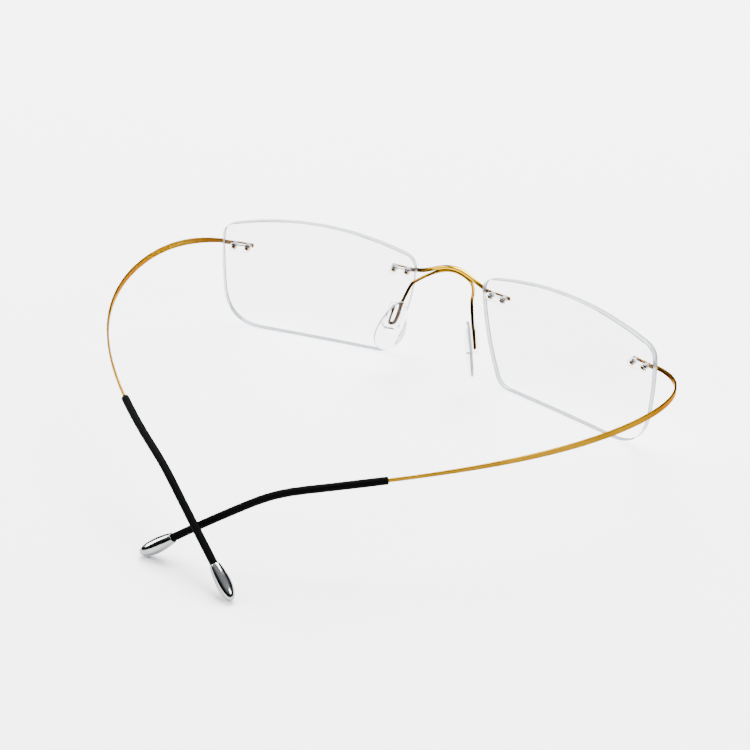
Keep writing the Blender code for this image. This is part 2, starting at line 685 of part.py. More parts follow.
def cap_mesh(temple):
    section = round_section(20)
    step = CAP_START + CAP_SOCKET
    rows = [(step + CAP_BORE_LENGTH, SLEEVE_BORE), (step, SLEEVE_BORE)]
    rows += [(step, CAP_SOCKET_RADIUS), (CAP_START, CAP_SOCKET_RADIUS)] + cap_profile()
    rings = [[temple.at(rows[0][0])]]
    rings += [place_section(section, *temple.frame(s), radius) for s, radius in rows]
    return mesh_from_rings(rings + [[temple.at(TEMPLE_LENGTH)]])


def temple_side(name, temple, side, gold, rubber, silver):
    bar_end = -TEMPLE_PIN_INSET - PIN_PITCH / 2.0 - CLIP_REACH
    bow = strip_mesh(temple, bar_end, BOW_LENGTH, BOW_RING_SPACING)
    add_object(f"temple_bow_{name}", bow, gold, side)
    pivot = bow_centre(temple) * np.array([side, 1.0, 1.0])
    hub = bpy.data.objects.new(f"temple_{name}_axis", None)
    hub.location = tuple(pivot * MM)
    hub.empty_display_size = 5.0 * MM
    bpy.context.scene.collection.objects.link(hub)
    arm = strip_mesh(temple, BOW_LENGTH + STRIP_SPLIT_GAP, CAP_START + STRIP_IN_CAP, ARM_RING_SPACING)
    pieces = [
        add_object(f"temple_arm_{name}", arm, gold, side),
        add_object(f"sleeve_{name}", sleeve_mesh(temple), rubber, side),
        add_object(f"end_cap_{name}", cap_mesh(temple), silver, side),
    ]
    for piece in pieces:
        piece.parent = hub
        piece.location = tuple(-pivot * MM)


# ---- Assembly ----

def centre_on_footprint():
    # Move everything along y so that the origin is below the middle of the object's depth.
    bpy.context.view_layer.update()
    depths = [(thing.matrix_world @ vertex.co).y for thing in bpy.context.scene.objects
              if thing.type == "MESH" and not thing.hide_render for vertex in thing.data.vertices]
    for thing in bpy.context.scene.objects:
        if thing.parent is None:
            thing.location.y -= (min(depths) + max(depths)) / 2.0


def build():
    for thing in list(bpy.data.objects):
        bpy.data.objects.remove(thing)
    clear = make_material("clear lens", (0.93, 0.96, 0.97), 0.03, alpha=0.3)
    plug_clear = make_material("clear plug", (0.95, 0.95, 0.93), 0.15, alpha=0.5)
    silicone = make_material("clear silicone", (0.9, 0.92, 0.92), 0.3, alpha=0.5)
    gold = make_material("gold plating", (0.83, 0.55, 0.16), 0.22, metallic=1.0)
    rubber = make_material("black sleeve", (0.012, 0.012, 0.013), 0.55)
    silver = make_material("polished silver", (0.72, 0.72, 0.73), 0.12, metallic=1.0)
    add_object("bridge_bar", bridge_mesh(), gold)
    add_object("pad_arm_wire", pad_wire_mesh(), gold)
    for name, side in (("left", 1), ("right", -1)):
        lens(f"lens_{name}", clear, side)
        nose_pad(f"nose_pad_{name}", silicone, side)
        for clip_name, clip in (("temple", TEMPLE_CLIP), ("bridge", BRIDGE_CLIP)):
            plug(f"{clip_name}_plug_{name}", clip, plug_clear, side)
            for place, a in PIN_PLACES.items():
                add_object(f"{clip_name}_pin_{name}_{place}", pin_mesh(clip, a), gold, side)
        temple_side(name, TEMPLES[name], side, gold, rubber, silver)
    centre_on_footprint()


build()
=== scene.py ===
# Rimless eyeglasses: drilled lenses, a gold plated bridge and pad wire, springy strip temples.
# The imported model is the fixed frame; every piece here stands for one or two of its nodes.
import json
import math

import bmesh
import bpy
from mathutils import Matrix, Vector, geometry


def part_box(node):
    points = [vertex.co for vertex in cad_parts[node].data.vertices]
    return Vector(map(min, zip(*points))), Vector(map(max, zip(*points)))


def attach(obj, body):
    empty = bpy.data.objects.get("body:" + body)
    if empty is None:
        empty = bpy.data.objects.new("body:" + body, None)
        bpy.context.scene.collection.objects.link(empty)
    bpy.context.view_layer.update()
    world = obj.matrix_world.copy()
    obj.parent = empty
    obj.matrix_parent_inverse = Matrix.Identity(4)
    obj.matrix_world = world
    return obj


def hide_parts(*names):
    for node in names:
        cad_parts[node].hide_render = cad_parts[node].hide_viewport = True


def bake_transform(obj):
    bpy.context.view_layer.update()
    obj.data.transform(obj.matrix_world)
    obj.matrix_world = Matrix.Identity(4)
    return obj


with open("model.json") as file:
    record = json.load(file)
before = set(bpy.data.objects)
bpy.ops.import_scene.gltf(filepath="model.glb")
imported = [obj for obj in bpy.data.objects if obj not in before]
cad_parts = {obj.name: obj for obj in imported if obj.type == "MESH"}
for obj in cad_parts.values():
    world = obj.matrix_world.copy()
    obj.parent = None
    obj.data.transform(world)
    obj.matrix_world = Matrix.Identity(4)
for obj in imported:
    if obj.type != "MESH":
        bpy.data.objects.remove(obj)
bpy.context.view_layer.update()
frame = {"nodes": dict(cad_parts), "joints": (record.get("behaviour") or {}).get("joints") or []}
mm = 0.001
sharpAngle = 35.0        # degrees between faces, past which an edge is shaded sharp
sides = {"left": 1, "right": -1}
joints = {joint["name"]: joint for joint in frame["joints"]}

studio = {
    "azimuth": 211.3, "elevation": 30.56, "roll": 0.21,      # where the camera stands, in degrees
    "distance": 617.1, "focal": 125.7, "sensor": 36.0,       # millimetres
    "target": (-2.28, -16.24, 17.59),                        # millimetres
    "floor": ("#FBFBFC", "#F6F6F8"), "fibre": 1.5,           # paper fibres, millimetres
    "floorSize": 9.0, "floorDrop": 0.02,                     # metres across, millimetres below the glasses
    "zenith": "#D8DADE", "horizon": "#08090A", "worldStrength": 1.2,
    "fade": (0.45, 0.95),                                    # heights on a unit sphere
}


def linear(hexColour):
    # An sRGB hex value as the linear colour that the shaders take.
    parts = [int(hexColour[i:i + 2], 16) / 255 for i in (1, 3, 5)]
    return tuple(p / 12.92 if p <= 0.04045 else ((p + 0.055) / 1.055) ** 2.4 for p in parts) + (1.0,)


def perMetre(size):
    # A pattern's scale on Object coordinates, which are metres, from its real size in millimetres.
    return 1.0 / (size * mm)


def addNode(tree, kind, values=None, links=None, **settings):
    node = tree.nodes.new(kind)
    for key, value in settings.items():
        setattr(node, key, value)
    for key, value in (values or {}).items():
        node.inputs[key].default_value = value
    for key, source in (links or {}).items():
        tree.links.new(source, node.inputs[key])
    return node


def newMaterial(name):
    material = bpy.data.materials.new(name)
    material.use_nodes = True
    material.node_tree.nodes.clear()
    place = addNode(material.node_tree, "ShaderNodeTexCoord").outputs["Object"]
    return material, material.node_tree, place


def showShader(tree, shader):
    addNode(tree, "ShaderNodeOutputMaterial", links={"Surface": shader})


def makePiece(name, mesh, materials, body, slotName, *nodes):
    # At the origin, its place in its mesh; it stands for CAD nodes, and rides on a body if one is given.
    data = bpy.data.meshes.new(name)
    mesh.to_mesh(data)
    mesh.free()
    data.shade_smooth()
    data.set_sharp_from_angle(angle=math.radians(sharpAngle))
    for material in materials:
        data.materials.append(material)
    piece = bpy.data.objects.new(name, data)
    bpy.context.scene.collection.objects.link(piece)
    if body is not None:
        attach(piece, body)
    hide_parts(*nodes)
    return piece


def mergedCopy(node):
    # A CAD node's mesh with its loose triangles joined up.
    mesh = bmesh.new()
    mesh.from_mesh(frame["nodes"][node].data)
    bmesh.ops.remove_doubles(mesh, verts=mesh.verts, dist=0.001 * mm)
    return mesh


def ringsOf(node, near):
    # The sections a swept CAD node is made of, from the flat end nearest to a point to the other end.
    mesh = mergedCopy(node)
    flatAngle = math.radians(0.05)
    bmesh.ops.dissolve_limit(mesh, angle_limit=flatAngle, verts=mesh.verts, edges=mesh.edges)
    most = max(len(face.verts) for face in mesh.faces)
    ends = [face for face in mesh.faces if len(face.verts) == most]
    first = min(ends, key=lambda face: (face.calc_center_median() - near).length)
    ring, seen, rings = list(first.verts), set(first.verts), []
    while ring:
        rings.append([vertex.co.copy() for vertex in ring])
        linked = dict.fromkeys(edge.other_vert(vertex) for vertex in ring for edge in vertex.link_edges)
        ring = [vertex for vertex in linked if vertex not in seen]
        seen.update(ring)
    mesh.free()
    return rings


def middleOf(points):
    return sum(points, Vector()) / len(points)


def sectionSize(ring, tangent):
    # How far a strip's section reaches across and up, and which way its height points.
    across = tangent.cross(Vector((0.0, 0.0, 1.0))).normalized()
    up = across.cross(tangent)
    middle = middleOf(ring)
    top = [point for point in ring if (point - middle).dot(up) > 0.0]
    up = middleOf(top) - middle
    up = (up - tangent * up.dot(tangent)).normalized()
    across = tangent.cross(up)
    width, height = (2.0 * max(abs((point - middle).dot(axis)) for point in ring) for axis in (across, up))
    return width, height, up


def pinAxis(node):
    # Middle, direction and half length of a pin; its flat ends are the faces that look along y.
    mesh = mergedCopy(node)
    axis = max(mesh.faces, key=lambda face: face.normal.y).normal.copy()
    points = [vertex.co.copy() for vertex in mesh.verts]
    mesh.free()
    reach = [point.dot(axis) for point in points]
    centre = middleOf(points)
    centre += axis * ((min(reach) + max(reach)) / 2.0 - centre.dot(axis))
    return centre, axis, (max(reach) - min(reach)) / 2.0


def tangentsOf(points):
    # Directions at the points, each weighing the nearer neighbour more.
    found = []
    for i, point in enumerate(points):
        after = points[min(i + 1, len(points) - 1)] - point
        before = point - points[max(i - 1, 0)]
        if i == 0 or i == len(points) - 1:
            found.append((after if i == 0 else before).normalized())
        else:
            lean = before * after.length / before.length + after * before.length / after.length
            found.append(lean.normalized())
    return found


def smoothPath(points, steps):
    # A smooth curve through the points with so many steps between each two.
    tangents = tangentsOf(points)
    path = []
    for i in range(len(points) - 1):
        start, end = points[i], points[i + 1]
        reach = (end - start).length / 3.0
        path += geometry.interpolate_bezier(start, start + tangents[i] * reach,
                                            end - tangents[i + 1] * reach, end, steps + 1)[:-1]
    return path + [points[-1]]


def between(values, steps):
    # The same number of steps between each two of a list of sizes.
    spread = []
    for a, b in zip(values, values[1:]):
        spread += [a + (b - a) * i / steps for i in range(steps)]
    return spread + [values[-1]]


def axesTo(place, tangent, up, width=1.0, height=1.0):
    # A matrix that puts a section drawn across x and up y square on to a path.
    across = tangent.cross(up).normalized()
    up = across.cross(tangent).normalized()
    turn = Matrix((across, up, tangent)).transposed().to_4x4()
    return Matrix.Translation(place) @ turn @ Matrix.Diagonal((width, height, 1.0, 1.0))


def steadyUps(tangents, up):
    # Carries one up direction along a path without twisting it.
    found = []
    for i, tangent in enumerate(tangents):
        if i:
            up = tangents[i - 1].rotation_difference(tangent) @ up
        up = (up - tangent * up.dot(tangent)).normalized()
        found.append(up)
    return found


def grownFrom(mesh, edges):
    # Extrudes a ring of edges and gives the new ring's points and edges.
    grown = bmesh.ops.extrude_edge_only(mesh, edges=edges)["geom"]
    ring = [part for part in grown if isinstance(part, bmesh.types.BMVert)]
    here = set(ring)
    return ring, [part for part in grown
                  if isinstance(part, bmesh.types.BMEdge) and all(vertex in here for vertex in part.verts)]


def sweep(places, count, turn=0.0, looped=False):
    # A ring of so many points, extruded from one place to the next; looped joins the last to the first.
    mesh = bmesh.new()
    bmesh.ops.create_circle(mesh, segments=count, radius=1.0)
    bmesh.ops.rotate(mesh, verts=mesh.verts, matrix=Matrix.Rotation(turn, 3, "Z"))
    bmesh.ops.transform(mesh, matrix=places[0], verts=mesh.verts)
    firstEdges = edges = mesh.edges[:]
    for before, after in zip(places, places[1:]):
        ring, edges = grownFrom(mesh, edges)
        bmesh.ops.transform(mesh, matrix=after @ before.inverted(), verts=ring)
    if looped:
        bmesh.ops.bridge_loops(mesh, edges=firstEdges + edges)
    else:
        bmesh.ops.contextual_create(mesh, geom=firstEdges)
        bmesh.ops.contextual_create(mesh, geom=edges)
    bmesh.ops.recalc_face_normals(mesh, faces=mesh.faces)
    return mesh


def thickened(mesh, step):
    # Gives a flat sheet its thickness by extruding all of it along a step.
    grown = bmesh.ops.extrude_face_region(mesh, geom=mesh.faces[:])["geom"]
    back = [part for part in grown if isinstance(part, bmesh.types.BMVert)]
    bmesh.ops.translate(mesh, vec=step, verts=back)
    bmesh.ops.recalc_face_normals(mesh, faces=mesh.faces)


def roundEdges(mesh, width, segments, sharper=50.0):
    # Rounds every edge that turns by more than so many degrees; the width is in millimetres.
    chosen = [edge for edge in mesh.edges
              if edge.is_manifold and edge.calc_face_angle() > math.radians(sharper)]
    bmesh.ops.bevel(mesh, geom=chosen, offset=width * mm, offset_type="OFFSET", segments=segments,
                    profile=0.5, affect="EDGES", clamp_overlap=True, material=-1)


def turned(profile, place, axis, steps=36):
    # Spins (along, radius) pairs in millimetres about an axis through a point.
    mesh = bmesh.new()
    points = [mesh.verts.new((radius * mm, 0.0, along * mm)) for along, radius in profile]
    line = [mesh.edges.new(pair) for pair in zip(points, points[1:])]
    bmesh.ops.spin(mesh, geom=points + line, cent=(0, 0, 0), axis=(0, 0, 1), angle=2 * math.pi,
                   steps=steps, use_merge=True, use_duplicate=False)
    bmesh.ops.remove_doubles(mesh, verts=mesh.verts, dist=0.0005 * mm)
    upright = axis.to_track_quat("Z", "Y").to_matrix().to_4x4()
    bmesh.ops.transform(mesh, matrix=Matrix.Translation(place) @ upright, verts=mesh.verts)
    bmesh.ops.recalc_face_normals(mesh, faces=mesh.faces)
    return mesh


def rod(low, high, radius):
    # The profile of a plain rod for turned().
    return [(low, 0.0), (low, radius), (high, radius), (high, 0.0)]


def mirrorAcross(mesh):
    # Swaps left and right, and turns the faces outwards again.
    bmesh.ops.transform(mesh, matrix=Matrix.Diagonal((-1.0, 1.0, 1.0, 1.0)), verts=mesh.verts)
    bmesh.ops.reverse_faces(mesh, faces=mesh.faces)


def grained(tree, place, finish, detail):
    # What every finish here has: patches of two tones, and a fine grain that dulls and ripples the surface.
    grain = addNode(tree, "ShaderNodeTexNoise", {"Scale": perMetre(finish["grain"]), "Detail": detail},
                    {"Vector": place}).outputs["Fac"]
    patches = grain
    if "cloud" in finish:
        patches = addNode(tree, "ShaderNodeTexNoise", {"Scale": perMetre(finish["cloud"]), "Detail": 3.0},
                          {"Vector": place}).outputs["Fac"]
    light, deep = (linear(colour) for colour in finish["colours"])
    tone = addNode(tree, "ShaderNodeMix", {6: light, 7: deep}, {0: patches}, data_type="RGBA")
    smooth, rough = finish["roughness"]
    dull = addNode(tree, "ShaderNodeMapRange", {"To Min": smooth, "To Max": rough}, {"Value": grain})
    bump = addNode(tree, "ShaderNodeBump", {"Strength": finish["relief"], "Distance": 0.01 * mm},
                   {"Height": grain})
    return {"Base Color": tone.outputs[2], "Roughness": dull.outputs["Result"],
            "Normal": bump.outputs["Normal"]}


def paintedShadeAlong(tree, place, colour, paintedShade):
    # Painted shade: a darker tone that comes in along one axis, in millimetres either side of the origin,
    # standing in for the dark reflections and shade on the plated metal.
    along = addNode(tree, "ShaderNodeSeparateXYZ", links={"Vector": place}).outputs[paintedShade["axis"]]
    away = addNode(tree, "ShaderNodeMath", links={0: along}, operation="ABSOLUTE").outputs["Value"]
    share = addNode(tree, "ShaderNodeMapRange",
                    {"From Min": paintedShade["from"] * mm, "From Max": paintedShade["to"] * mm}, {"Value": away},
                    interpolation_type="SMOOTHSTEP").outputs["Result"]
    mix = addNode(tree, "ShaderNodeMix", {7: linear(paintedShade["colour"])}, {0: share, 6: colour},
                  data_type="RGBA")
    return mix.outputs[2]


def polishedMetal(name, finish):
    # A mirror with clouds of slightly deeper colour and fine marks from the polishing.
    material, tree, place = newMaterial(name)
    surface = grained(tree, place, finish, 4.0)
    # Painted shade: the finish may lay a darker tone along one axis.
    if "paintedShade" in finish:
        surface["Base Color"] = paintedShadeAlong(tree, place, surface["Base Color"], finish["paintedShade"])
    shader = addNode(tree, "ShaderNodeBsdfPrincipled",
                     {"Metallic": 1.0, "Specular Tint": linear(finish["glance"])}, surface)
    showShader(tree, shader.outputs["BSDF"])
    return material


def mattRubber(name, finish):
    # Opaque, with hardly any shine.
    material, tree, place = newMaterial(name)
    shader = addNode(tree, "ShaderNodeBsdfPrincipled",
                     {"IOR": finish["ior"], "Specular IOR Level": finish["shine"]},
                     grained(tree, place, finish, 3.0))
    showShader(tree, shader.outputs["BSDF"])
    return material


def clearSolid(name, finish):
    # Bends what is behind it; lamps shine straight through, so its shadow stays pale.
    material, tree, place = newMaterial(name)
    glass = addNode(tree, "ShaderNodeBsdfPrincipled",
                    {"IOR": finish["ior"], "Transmission Weight": finish["clear"]},
                    grained(tree, place, finish, 2.0))
    through = addNode(tree, "ShaderNodeBsdfTransparent", {"Color": linear(finish["shadow"])})
    rays = addNode(tree, "ShaderNodeLightPath")
    mixed = addNode(tree, "ShaderNodeMixShader", {}, {0: rays.outputs["Is Shadow Ray"],
                                                      1: glass.outputs["BSDF"], 2: through.outputs["BSDF"]})
    showShader(tree, mixed.outputs["Shader"])
    return material


# Gold plate, buffed: a yellow mirror over the arch, with painted shade that turns it browner out along the
# clips.
bridgeGold = polishedMetal("buffed_gold_plate", {
    "colours": ("#BE980A", "#8C6A06"), "glance": "#F0D080", "cloud": 6.0, "grain": 0.3, "relief": 0.1,
    "roughness": (0.08, 0.18), "paintedShade": {"axis": "X", "from": 4.5, "to": 8.5, "colour": "#3C2606"}})
# Drawn wire, thinly plated: browner, with painted shade that makes it darkest down by the pads.
wireGold = polishedMetal("drawn_gold_wire", {
    "colours": ("#94700E", "#6A4A08"), "glance": "#D8B060", "cloud": 4.0, "grain": 0.2, "relief": 0.15,
    "roughness": (0.12, 0.24), "paintedShade": {"axis": "Z", "from": 26.0, "to": 22.5, "colour": "#2A1A06"}})
# Rolled strip, plated: amber with a softer mirror, with painted shade that turns it browner where it comes
# forward to the lenses.
stripGold = polishedMetal("rolled_gold_strip", {
    "colours": ("#7C5C0C", "#4E3606"), "glance": "#D8B060", "cloud": 8.0, "grain": 0.25, "relief": 0.15,
    "roughness": (0.16, 0.3), "paintedShade": {"axis": "Y", "from": 36.0, "to": 46.0, "colour": "#4A2E08"}})
# Turned pins with dull cut ends: the darkest gold on the frame.
pinGold = polishedMetal("turned_gold_pin", {
    "colours": ("#3A2608", "#1A1006"), "glance": "#B08840", "cloud": 1.5, "grain": 0.2, "relief": 0.2,
    "roughness": (0.25, 0.4)})
# Nickel plated caps, tumbled: a mirror with faint scuffs.
capNickel = polishedMetal("tumbled_nickel_plate", {
    "colours": ("#9A9B9C", "#6E6F6F"), "glance": "#F0F0F0", "cloud": 2.2, "grain": 0.25, "relief": 0.12,
    "roughness": (0.06, 0.2)})
# Extruded silicone tube, matt: it swallows light and shows only a broad faint sheen.
sleeveBlack = mattRubber("matt_black_silicone", {
    "colours": ("#010101", "#030303"), "grain": 0.18, "relief": 0.25, "roughness": (0.6, 0.8),
    "ior": 1.43, "shine": 0.025})
# Cast resin lens with a hard, anti-reflective coating: all but invisible apart from its edge. The low
# index stands for the coating, which cuts the mirror image; so thin a lens bends little light anyway.
lensClear = clearSolid("hard_coated_lens_resin", {
    "colours": ("#FFFFFF", "#FCFDFE"), "grain": 8.0, "relief": 0.0, "roughness": (0.0, 0.01),
    "ior": 1.18, "clear": 1.0, "shadow": "#FAFBFC"})
# The lens edge, ground to shape and polished: a faint pale grey band, its polish real and its grey painted
# shade.
lensEdge = clearSolid("polished_lens_edge", {
    "colours": ("#9A9EA4", "#80848A"), "grain": 0.15, "relief": 0.2, "roughness": (0.15, 0.3),
    "ior": 1.18, "clear": 0.55, "shadow": "#E8EAEE"})
# The narrow bevels on both sides of it, left as ground: satin, and darker than the polished edge; their dark
# grey is painted shade that draws the lens outline.
lensBevel = clearSolid("satin_ground_lens_bevel", {
    "colours": ("#34373B", "#282B2E"), "grain": 0.15, "relief": 0.3, "roughness": (0.3, 0.5),
    "ior": 1.18, "clear": 0.1, "shadow": "#D0D3D8"})
# Injection moulded link: clear, with a soft shine and a faint warm cloudiness.
plugClear = clearSolid("moulded_clear_link", {
    "colours": ("#FBFAF6", "#F3F0E9"), "grain": 0.5, "relief": 0.1, "roughness": (0.05, 0.15),
    "ior": 1.25, "clear": 1.0, "shadow": "#F2F0EC"})
# Liquid silicone rubber pads: clear and soft. The low index keeps their mirror image faint.
siliconeClear = clearSolid("clear_silicone_rubber", {
    "colours": ("#FFFFFF", "#F6F7F8"), "grain": 0.6, "relief": 0.1, "roughness": (0.02, 0.08),
    "ior": 1.18, "clear": 1.0, "shadow": "#F4F4F5"})
# The pad's rim, where the mould parted: satin, with a grey of painted shade that draws the drop.
siliconeRim = clearSolid("satin_silicone_rim", {
    "colours": ("#8A8E94", "#70747A"), "grain": 0.3, "relief": 0.2, "roughness": (0.3, 0.45),
    "ior": 1.18, "clear": 0.55, "shadow": "#DCDEE0"})
print("materials made")


# The lenses: sizes in millimetres, angles in degrees, the outline seen from the front.
lensShape = {
    "width": 52.0, "cornerHeight": 27.2, "thickness": 1.8, "baseRadius": 265.0,
    "wrap": 10.5, "tilt": 3.6, "nasalTop": 0.2, "nasalSlant": 7.3, "outerSlant": 1.4,
    "bows": {"top": 3.95, "outer": 0.9, "bottom": 0.3, "nasal": 1.55},
    "trims": {"nasalTop": 3.2, "outerTop": 2.9, "outerBottom": 8.8, "nasalBottom": 2.7},
    "sideSteps": 26, "cornerSteps": 9, "edgeRound": 0.2, "roundSteps": 3, "drillRadius": 0.79,
    "rings": (0.99, 0.96, 0.9, 0.82, 0.72, 0.6, 0.46, 0.32, 0.18),     # shares of the outline's size
    "faceFrom": 0.98, "edgeUpTo": 0.15,      # how squarely a face looks along y to be lens face or edge
}
cutReach = 3.0      # millimetres that a drill or a bore runs each way from the middle of a pin


def bowedSide(start, end, bow, share):
    # A point on the shallow parabola that bows out between two corners.
    run = end - start
    outward = Vector((-run.y, run.x)).normalized()
    return start + run * share + outward * (4.0 * share * (1.0 - share) * bow)


def lensOutline(shape):
    # Four bowed sides from corner to corner, joined by soft corners that start a trim away.
    width, top = shape["width"], shape["cornerHeight"]
    corners = [Vector((shape["nasalTop"], top)), Vector((width, top)),
               Vector((width - shape["outerSlant"], 0.0)), Vector((shape["nasalSlant"], 0.0))]
    bows = list(shape["bows"].values())
    trims = list(shape["trims"].values())
    points = []
    for i in range(4):
        start, end, beyond = corners[i], corners[(i + 1) % 4], corners[(i + 2) % 4]
        length = (end - start).length
        first, last = trims[i] / length, 1.0 - trims[(i + 1) % 4] / length
        for step in range(shape["sideSteps"] + 1):
            share = first + (last - first) * step / shape["sideSteps"]
            points.append(bowedSide(start, end, bows[i], share))
        before = points[-1]
        after = bowedSide(end, beyond, bows[(i + 1) % 4], trims[(i + 1) % 4] / (beyond - end).length)
        for step in range(1, shape["cornerSteps"]):
            t = step / shape["cornerSteps"]
            points.append(before * (1 - t) ** 2 + end * (2 * t * (1 - t)) + after * t * t)
    return points


def lensBlank(shape):
    # The outline, drawn in to the middle ring by ring, bent to the base curve and given its thickness.
    mesh = bmesh.new()
    rim = [mesh.verts.new((point.x * mm, 0.0, point.y * mm)) for point in lensOutline(shape)]
    edges = [mesh.edges.new(pair) for pair in zip(rim, rim[1:] + rim[:1])]
    middle = Vector((shape["width"] / 2.0, 0.0, shape["cornerHeight"] / 2.0)) * mm
    before = 1.0
    for share in shape["rings"]:
        ring, edges = grownFrom(mesh, edges)
        bmesh.ops.scale(mesh, vec=(share / before,) * 3, verts=ring, space=Matrix.Translation(-middle))
        before = share
    bmesh.ops.contextual_create(mesh, geom=edges)
    bmesh.ops.poke(mesh, faces=[face for face in mesh.faces if len(face.verts) > 4])
    radius = shape["baseRadius"] * mm
    half = shape["thickness"] / 2.0 * mm
    for vertex in mesh.verts:
        away = vertex.co - middle
        vertex.co.y = (away.x ** 2 + away.z ** 2) / (2.0 * radius) - half
    thickened(mesh, (0.0, 2.0 * half, 0.0))
    roundEdges(mesh, shape["edgeRound"], shape["roundSteps"])
    # The edge and the bevels take the grey and the dark grey of painted shade.
    for face in mesh.faces:
        facing = abs(face.normal.y)
        face.material_index = 0 if facing > shape["faceFrom"] else 1 if facing < shape["edgeUpTo"] else 2
    tilt = Matrix.Rotation(math.radians(shape["tilt"]), 4, "X")
    wrap = Matrix.Rotation(math.radians(shape["wrap"]), 4, "Z")
    bmesh.ops.transform(mesh, matrix=wrap @ tilt, verts=mesh.verts)
    return mesh


def placeLike(mesh, node):
    # Moves a left-hand mesh so that its box starts where the left node's does.
    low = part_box(node)[0]
    own = Vector([min(vertex.co[i] for vertex in mesh.verts) for i in range(3)])
    bmesh.ops.translate(mesh, vec=low - own, verts=mesh.verts)


def workOn(piece, tools):
    # Joins and cuts by Boolean modifiers with tools of (operation, mesh, material slot of the cut).
    helpers = []
    for operation, mesh, slotIndex in tools:
        data = bpy.data.meshes.new("tool")
        for face in mesh.faces:
            face.material_index = slotIndex
        mesh.to_mesh(data)
        mesh.free()
        for material in piece.data.materials:
            data.materials.append(material)
        helper = bpy.data.objects.new("tool", data)
        bpy.context.scene.collection.objects.link(helper)
        helpers.append(helper)
        modifier = piece.modifiers.new("work", "BOOLEAN")
        modifier.operation = operation
        modifier.solver = "EXACT"
        modifier.object = helper
    keepModifiers(piece)
    for helper in helpers:
        bpy.data.objects.remove(helper)


def keepModifiers(piece, sharp=sharpAngle):
    # Makes what the modifiers show the piece's own mesh.
    made = bpy.data.meshes.new_from_object(piece.evaluated_get(bpy.context.evaluated_depsgraph_get()))
    piece.modifiers.clear()
    old, piece.data = piece.data, made
    made.shade_smooth()
    made.set_sharp_from_angle(angle=math.radians(sharp))
    name = old.name
    bpy.data.meshes.remove(old)
    made.name = name


pins = {}
for sideName in sides:
    for clip in ("temple", "bridge"):
        for end in ("inner", "outer"):
            pins[clip, sideName, end] = pinAxis(f"{clip}_pin_{sideName}_{end}")

for sideName, side in sides.items():
    mesh = lensBlank(lensShape)
    placeLike(mesh, "lens_left")
    if side < 0:
        mirrorAcross(mesh)
    lens = makePiece(f"lens_{sideName}_ground", mesh, [lensClear, lensEdge, lensBevel], "front", "clear_lens",
                     f"lens_{sideName}")
    drill = rod(-cutReach, cutReach, lensShape["drillRadius"])
    workOn(lens, [("DIFFERENCE", turned(drill, centre, axis), 1)
                  for (_, pinSide, _), (centre, axis, _) in pins.items() if pinSide == sideName])
print("lenses ground and drilled")


# The pins, and the clear plugs that hold them: radii and lengths in millimetres.
pinShape = {"radius": 0.42, "dome": 0.14, "domeSteps": 5, "chamfer": 0.04}
plugShape = {
    "boreRadius": 0.49, "tubeRadius": 0.74, "tube": 1.8, "pinProud": 0.06,
    "plate": 0.5, "margin": 0.35, "round": 0.12, "roundSteps": 3, "points": 48,
}


def pinProfile(half, shape):
    # A flat end with a small chamfer in front, a shallow dome behind.
    length, radius, dome, chamfer = half / mm, shape["radius"], shape["dome"], shape["chamfer"]
    profile = [(-length, 0.0), (-length, radius - chamfer), (chamfer - length, radius),
               (length - dome, radius)]
    for step in range(1, shape["domeSteps"]):
        swing = math.radians(90.0 * step / shape["domeSteps"])
        profile.append((length - dome + dome * math.sin(swing), radius * math.cos(swing) ** 0.5))
    return profile + [(length, 0.0)]


def linkPlate(inner, outer, axis, plateFront, shape):
    # A round-ended plate that joins the two tubes of a plug behind the lens.
    mesh = bmesh.new()
    bmesh.ops.create_circle(mesh, cap_ends=True, segments=shape["points"],
                            radius=(shape["tubeRadius"] + shape["margin"]) * mm)
    # Turned by half a step, so that no point lies on the middle line.
    halfStep = Matrix.Rotation(math.pi / shape["points"], 3, "Z")
    bmesh.ops.rotate(mesh, verts=mesh.verts, matrix=halfStep)
    for vertex in mesh.verts:
        vertex.co.x += math.copysign((outer - inner).length / 2.0, vertex.co.x)
    thickened(mesh, (0.0, 0.0, shape["plate"] * mm))
    roundEdges(mesh, shape["round"], shape["roundSteps"])
    place = (inner + outer) / 2.0 + axis * plateFront
    along = (outer - inner).normalized()
    bmesh.ops.transform(mesh, matrix=axesTo(place, axis, axis.cross(along)), verts=mesh.verts)
    bmesh.ops.recalc_face_normals(mesh, faces=mesh.faces)
    return mesh


for (clip, sideName, end), (centre, axis, half) in pins.items():
    makePiece(f"{clip}_pin_{sideName}_{end}_turned", turned(pinProfile(half, pinShape), centre, axis),
              [pinGold], "front", "gold_pin", f"{clip}_pin_{sideName}_{end}")

for sideName in sides:
    for clip in ("temple", "bridge"):
        (inner, axis, half), (outer, _, _) = (pins[clip, sideName, end] for end in ("inner", "outer"))
        plateFront = half - (plugShape["plate"] + plugShape["pinProud"]) * mm
        mesh = linkPlate(inner, outer, axis, plateFront, plugShape)
        plug = makePiece(f"{clip}_plug_{sideName}_moulded", mesh, [plugClear], "front", "clear_plug",
                         f"{clip}_plug_{sideName}")
        front = plateFront / mm
        tube = rod(front - plugShape["tube"], front + plugShape["plate"] / 2.0, plugShape["tubeRadius"])
        bore = rod(-cutReach, cutReach, plugShape["boreRadius"])
        workOn(plug, [("UNION", turned(tube, centre, axis), 0) for centre in (inner, outer)]
               + [("DIFFERENCE", turned(bore, centre, axis), 0) for centre in (inner, outer)])
print("pins and plugs made")


